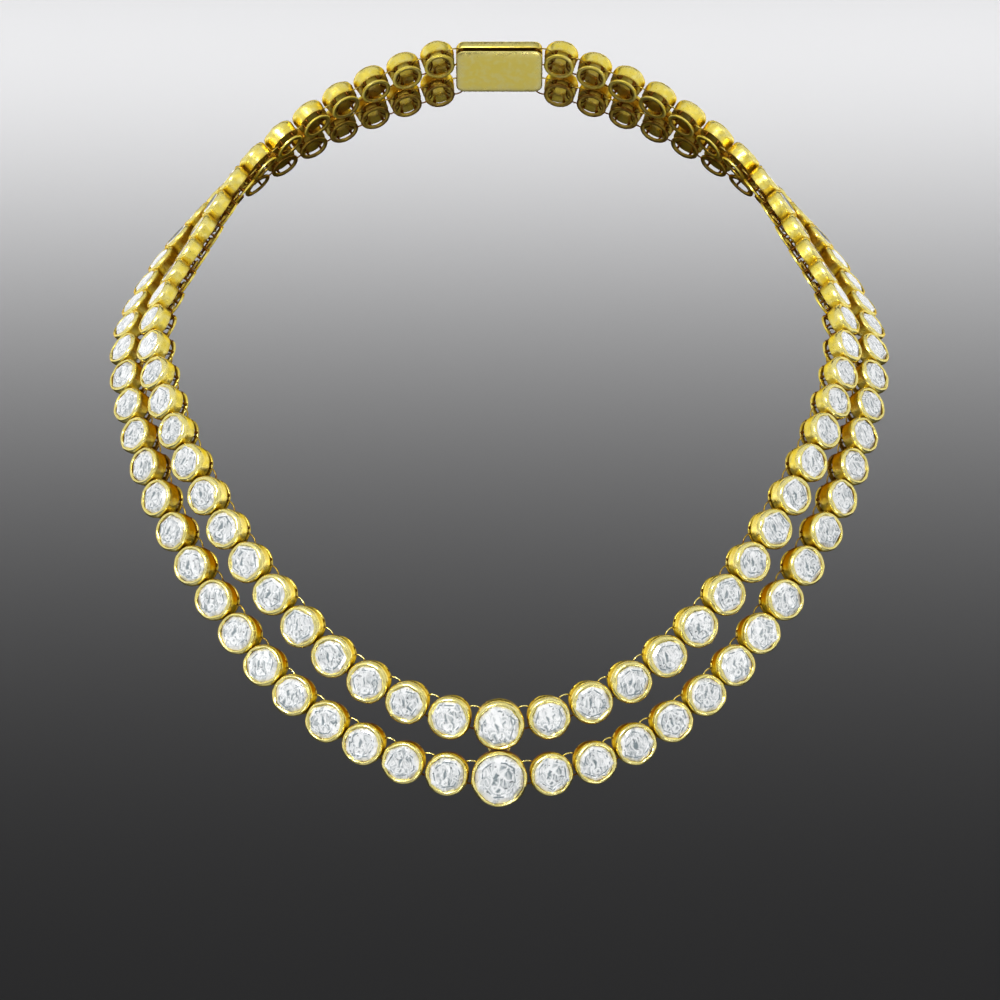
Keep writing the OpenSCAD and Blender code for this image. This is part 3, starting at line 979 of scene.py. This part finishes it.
def foil_group():
    tree, given, result = new_tree("crumpled_foil", "ShaderNodeTree", (
        # Bright is the foil's painted reflection, Dim its painted shade, Speck the stone's own dark flecks
        ("Bright", "Color", (0.985, 0.995, 1.0, 1)),
        ("Dim", "Color", (0.17, 0.22, 0.24, 1)),
        ("Speck", "Color", (0.03, 0.04, 0.05, 1))), (("Color", "Color"), ("Height", "Float")))
    spot = carried(tree, "spot", "Vector")
    tone = carried(tree, "tone")
    number = carried(tree, "number")
    away = put(tree, "ShaderNodeCombineXYZ", "", None, X=maths(tree, "MULTIPLY", number, 37.0),
               Y=maths(tree, "MULTIPLY", number, 91.0)).outputs[0]
    own = vector_maths(tree, "ADD", spot, away)
    warp = noise(tree, "warp", own, 2.0, 1.0, output="Color")
    bent = vector_maths(tree, "MULTIPLY_ADD", warp, (0.5, 0.5, 0.0), own)
    drawn = vector_maths(tree, "MULTIPLY", bent, (4.2, 1.5, 1.0))
    shifted = vector_maths(tree, "MULTIPLY_ADD", warp, (0.4, 0.3, 0.0), spot)

    tilts = patches(tree, "F1", drawn, 1.2).outputs["Color"]
    patch = put(tree, "ShaderNodeSeparateColor", "", None, Color=tilts).outputs[0]
    edge = patches(tree, "DISTANCE_TO_EDGE", drawn, 1.2).outputs["Distance"]
    fold = between(tree, edge, 0.0, 0.16, 1.0, 0.0)
    edge = patches(tree, "DISTANCE_TO_EDGE", bent, 2.3).outputs["Distance"]
    crease = between(tree, edge, 0.0, 0.08, 1.0, 0.0)
    broad = noise(tree, "broad", bent, 1.8, 0.0)
    specks = noise(tree, "specks", own, 6.5, 0.0)
    worn = noise(tree, "worn", own, 3.8, 1.0)
    inside = between(tree, vector_maths(tree, "LENGTH", spot, output="Value"), 0.68, 0.84, 1.0, 0.3)

    # Painted reflections in patches, then painted shade in strokes between them, then painted glints
    light = maths(tree, "MAXIMUM", tone, between(tree, worn, 0.46, 0.54))
    light = maths(tree, "MULTIPLY", light, between(tree, patch, 0.1, 0.7, 0.52, 0.97))
    strokes = maths(tree, "MULTIPLY", fold, between(tree, broad, 0.42, 0.58, 0.05, 0.60))
    strokes = maths(tree, "ADD", strokes, maths(tree, "MULTIPLY", crease, 0.14))
    strokes = maths(tree, "ADD", strokes, maths(tree, "MULTIPLY", stroke(tree, drawn, 0.8, 0.03), 0.45))
    light = darker(tree, light, strokes, inside)
    painted_glint = maths(tree, "MAXIMUM", stroke(tree, bent, 2.2, 0.06), stroke(tree, drawn, 0.9, 0.06))
    painted_glint = maths(tree, "MULTIPLY", painted_glint, between(tree, tone, 0.5, 0.6))
    light = maths(tree, "MAXIMUM", light, painted_glint)

    # A round drop and a long one, darker inside, with painted highlights in rings round both
    drop = oval(tree, shifted, 0.2, -0.27, 0.14, 0.12)
    dart = oval(tree, shifted, 0.08, 0.2, 0.08, 0.26)
    light = darker(tree, light, between(tree, dart, 0.6, 1.1, 1.0, 0.0), 0.75)
    light = darker(tree, light, between(tree, drop, 0.3, 0.9, 1.0, 0.0), 0.45)
    light = darker(tree, light, halo(tree, drop, 2.0, 0.4), 0.4)
    rings = maths(tree, "MAXIMUM", halo(tree, drop, 1.25, 0.5), halo(tree, dart, 1.9, 0.6))
    light = maths(tree, "MAXIMUM", light, rings, clamp=True)
    colour = blend_colours(tree, light, given["Dim"], given["Bright"])
    colour = blend_colours(tree, between(tree, specks, 0.76, 0.80, 0.0, 0.85), colour, given["Speck"])
    tree.links.new(colour, result["Color"])
    tree.links.new(maths(tree, "ADD", broad, maths(tree, "MULTIPLY", patch, 0.25)), result["Height"])
    return tree


crumpled_foil = foil_group()
print("nodes in the crumpled foil:", len(crumpled_foil.nodes))

# %% [markdown]
# The material is the foil's painted light and shade under a polished coat. The coat bends light as strongly
# as a real stone's face does, so it mirrors the soft boxes as brightly. A clear stone over modelled foil
# would be truer, but light would have to pass through it twice, which takes many more samples.

# %% The stones in their cups
STONE = {"Metallic": 0.15, "Roughness": 0.3, "Coat Weight": 1.0, "Coat Roughness": 0.03, "Coat IOR": 1.8}
CRUMPLE_DEPTH = 0.5 * MM
stone_white = finish("stone_white", crumpled_foil, CRUMPLE_DEPTH, STONE)

for row, seed in (("outer", 21), ("inner", 22)):
    centre_kind = collection_of(f"{row}_centre_stones", [uncut_stone(f"{row}_big_stone", seed, 8, 0.8)])
    middle = dict(stone_places([rows[row]["middle"]], seed)[0], kind=0)
    for name, where, kinds, node in (
            (f"{row}_polki", stone_places(rows[row]["in_order"], seed), stone_kinds, f"{row}_stones"),
            (f"{row}_centre_polki", [middle], centre_kind, f"{row}_centre_stone")):
        piece = set_pieces(name, where, kinds, stone_white, seed=seed)
        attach(piece, "root")
        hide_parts(node)

# %% [markdown]
# ## The centre ring and the clasp
# The photograph hides the clasp behind the neck, so it stays one plain box of two plates with cut corners,
# joined by four posts that the last loops run round. Plates of a real clasp are filed at every edge and
# slightly domed, to slide over the skin. Each plate is a stack of outlines: the small steps inwards are its
# filed edges, and the larger ones are its dome. The centre ring keeps the frame's own mesh, which is as
# round as the real wire, and only takes the finish.

# %% The centre ring's finish
centre_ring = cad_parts["centre_ring"].data
centre_ring.materials.clear()
centre_ring.materials.append(wire_gold)
print("centre ring's finish:", centre_ring.materials[0].name)

# %% The clasp's plates
# In mm: the clasp's size, the cut at its corners, and the thickness of its two plates
CLASP_LENGTH = 17.4
CLASP_HEIGHT = 10.6
CORNER = 1.6
CLASP_FRONT = 2.4
CLASP_BACK = 0.6
# Columns: how far outside the gallery's height, how far in from the outline's edge, both in mm, and the value
# for finish and painted shade, brown where a plate meets the gallery
FRONT_PLATE = (
    (0, 0.35, 1), (0.05, 0.12, 0.7), (0.2, 0, 0.2), (1.55, 0, 0), (1.9, 0.1, 0),
    (2.1, 0.32, 0), (2.2, 0.7, 0), (2.28, 1.4, 0), (2.35, 2.4, 0), (CLASP_FRONT, 3.8, 0))
BACK_PLATE = (
    (CLASP_BACK, 4.2, 0.27), (0.58, 3.2, 0.27), (0.54, 2.2, 0.25), (0.48, 1.3, 0.2), (0.40, 0.65, 0.1),
    (0.31, 0.26, 0), (0.22, 0.07, 0.1), (0.15, 0, 0.2), (0.04, 0.1, 0.6), (0, 0.3, 1))


def outline(inset, corner_steps=4):
    """The clasp's outline with its cut corners slightly rounded, that far in from the edge, in mm"""
    x, y = CLASP_LENGTH / 2 - inset, CLASP_HEIGHT / 2 - inset
    cut = max(CORNER - 0.45 * inset, 0.3)
    points = []
    for turn, (sx, sy) in enumerate(((1, 1), (-1, 1), (-1, -1), (1, -1))):
        for i in range(corner_steps + 1):
            a = math.pi / 2 * i / corner_steps
            u, v = (math.cos(a), math.sin(a)) if turn % 2 == 0 else (math.sin(a), math.cos(a))
            points.append((sx * (x - cut + cut * u), sy * (y - cut + cut * v)))
    return points


def plate(mesh, layers):
    """A closed plate through a stack of outlines, from rows of height, how far in, and the value for finish
    and painted shade
    """
    finish_and_shade = mesh.verts.layers.float["finish_and_shade"]
    rings = []
    for height, inset, deep in layers:
        ring = [mesh.verts.new((x, y, height)) for x, y in outline(inset)]
        for corner in ring:
            corner[finish_and_shade] = deep
        rings.append(ring)
    for low, high in zip(rings, rings[1:]):
        for i, corner in enumerate(low):
            j = (i + 1) % len(low)
            mesh.faces.new((corner, low[j], high[j], high[i]))
    mesh.faces.new(rings[0][::-1])
    mesh.faces.new(rings[-1])


def clasp_mesh():
    mesh = bmesh.new()
    mesh.verts.layers.float.new("finish_and_shade")
    plate(mesh, [(HALF_GALLERY + height, inset, deep) for height, inset, deep in FRONT_PLATE])
    plate(mesh, [(-HALF_GALLERY - height, inset, deep) for height, inset, deep in BACK_PLATE])
    bmesh.ops.recalc_face_normals(mesh, faces=mesh.faces)
    return mesh


# %% The clasp in its place
# In mm: how far in from the ends the posts stand, and how far apart the two rows end
CLASP_POST_INSET = 1.15
ROW_SPACING = 7.8
NAPE_LIFT = math.radians(30)
face = np.array([0, math.cos(NAPE_LIFT), math.sin(NAPE_LIFT)])
nape = {"face": face, "along": np.array([-1.0, 0, 0]), "at": (HALF_GALLERY + CLASP_BACK) * MM * face,
        "size": ONE}
clasp_kinds = collection_of("clasp_kinds", [
    in_metres(mesh_object("0_plates", clasp_mesh(), 30)), post("1_clasp_post")])
places = [{**nape, "kind": 0}]
for u in (-1, 1):
    for v in (-1, 1):
        shift = u * (CLASP_LENGTH / 2 - CLASP_POST_INSET) * MM * nape["along"]
        shift = shift + (v * ROW_SPACING / 2 * MM + LOOP_RISE) * up_in(nape)
        places.append({**nape, "at": nape["at"] + shift, "kind": 1})
piece = set_pieces("box_clasp", places, clasp_kinds, clasp_gold)
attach(piece, "root")
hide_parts("clasp")

# %% [markdown]
# ## Floor
# The necklace hangs as it would when worn, so the pale floor lies well below it. It is 60 m wide, so that
# its edge lies far behind all the lights. A curved studio sheet would hide the edge too, but only from one
# side.

# %% Floor
FLOOR = -2.6
FLOOR_SIZE = 60

mesh = bmesh.new()
bmesh.ops.create_grid(mesh, x_segments=1, y_segments=1, size=FLOOR_SIZE / 2)
mesh.transform(Matrix.Translation((0, 0, FLOOR)))
floor = mesh_object("floor", mesh)
matte = bpy.data.materials.new("floor")
matte.use_nodes = True
shader = matte.node_tree.nodes["Principled BSDF"]
shader.inputs["Base Color"].default_value = (0.55, 0.55, 0.56, 1)
shader.inputs["Roughness"].default_value = 0.9
floor.data.materials.append(matte)
print("floor below the nape in m:", -FLOOR)

# %% [markdown]
# ## Light on the gold
# Polished gold shows whatever stands round it, so large soft boxes stand on all sides like a tent, and two
# small strong boxes, one above and one below, give every rim its pale highlights. A studio would use white
# cards and two lamps. A picture of a room wrapped round the scene could do it too, but then every patch of
# light would be harder to place. The boxes light the gold and are never seen themselves.

# %% Lights
# Where the soft boxes point, in metres
MIDDLE = (0, -0.06, -0.06)


def softbox(name, at, target, size, radiance, spread=180):
    """A soft light, as bright as a white card of that radiance whatever its size"""
    light = bpy.data.lights.new(name, "AREA")
    light.shape = "RECTANGLE"
    light.size, light.size_y = size
    light.energy = radiance * math.pi * size[0] * size[1]
    light.spread = math.radians(spread)
    lamp = bpy.data.objects.new(name, light)
    bpy.context.collection.objects.link(lamp)
    lamp.location = at
    lamp.rotation_euler = (Vector(target) - Vector(at)).to_track_quat("-Z", "Y").to_euler()
    lamp.visible_camera = False
    return lamp


for name, at, size, radiance in (
        ("front", (0, -1.35, 0.2), (2.8, 2.0), 0.5),
        ("key", (-0.35, -1.1, 0.75), (0.35, 0.35), 25),
        ("low key", (0.3, -1.0, -0.75), (0.25, 0.25), 7),
        ("left", (-1.1, -0.15, 0.15), (1.9, 1.6), 0.73),
        ("right", (1.1, -0.15, 0.15), (1.9, 1.6), 0.73),
        ("left back", (-0.75, 0.95, 0.0), (1.0, 1.3), 1.1),
        ("right back", (0.75, 0.95, 0.0), (1.0, 1.3), 1.1),
        ("top", (0, -0.2, 0.95), (2.1, 1.7), 0.7),
        ("back", (0, 1.1, 0.6), (1.0, 0.8), 0.9),
        ("below", (0, -0.45, -0.95), (1.3, 1.0), 0.35)):
    softbox(name, at, MIDDLE, size, radiance)
print("lights near the necklace:", len(bpy.data.lights))

# %% [markdown]
# ## Light on the backdrop
# Far out on all sides wide lights hang over the floor, which makes the backdrop bright at the top and dark
# at the bottom, as in the photograph. A painted card could give the same from the front, but from behind
# there would be none. The camera sees no further than 20 m. Past that it sees the world, which is as grey
# as the floor is there, so no line shows.

# %% Lights far out over the floor
FAR_AWAY = 15.5
FAR_HEIGHT = 6.5
FAR_LIGHTS = 8
for i in range(FAR_LIGHTS):
    a = 2 * math.pi * i / FAR_LIGHTS
    x, y = FAR_AWAY * math.sin(a), FAR_AWAY * math.cos(a)
    # Every second one stands on a diagonal, where it only fills the gap between two wide ones
    width, radiance = (18, 2.0) if i % 2 == 0 else (6, 2.1)
    far = softbox(f"far {i}", (x, y, FLOOR + FAR_HEIGHT), (x, y, FLOOR), (width, 6), radiance, spread=100)
    far.rotation_euler = (0, 0, -a)
print("lights in all:", len(bpy.data.lights))

# %% The world behind the floor
WORLD_GREY = (0.212, 0.212, 0.216, 1)
world = bpy.data.worlds.new("world")
bpy.context.scene.world = world
world.use_nodes = True
tree = world.node_tree
faint = tree.nodes["Background"]
faint.inputs["Color"].default_value = (0.5, 0.5, 0.52, 1)
faint.inputs["Strength"].default_value = 0.03
backdrop = put(tree, "ShaderNodeBackground", "behind the floor", None, Color=WORLD_GREY, Strength=1.0)
seen = put(tree, "ShaderNodeLightPath").outputs["Is Camera Ray"]
either = put(tree, "ShaderNodeMixShader", "", None, i0=seen, i1=faint.outputs[0], i2=backdrop.outputs[0])
tree.links.new(either.outputs[0], tree.nodes["World Output"].inputs["Surface"])
bpy.context.scene.view_settings.view_transform = "Standard"
print("grey behind the floor:", WORLD_GREY[:3])
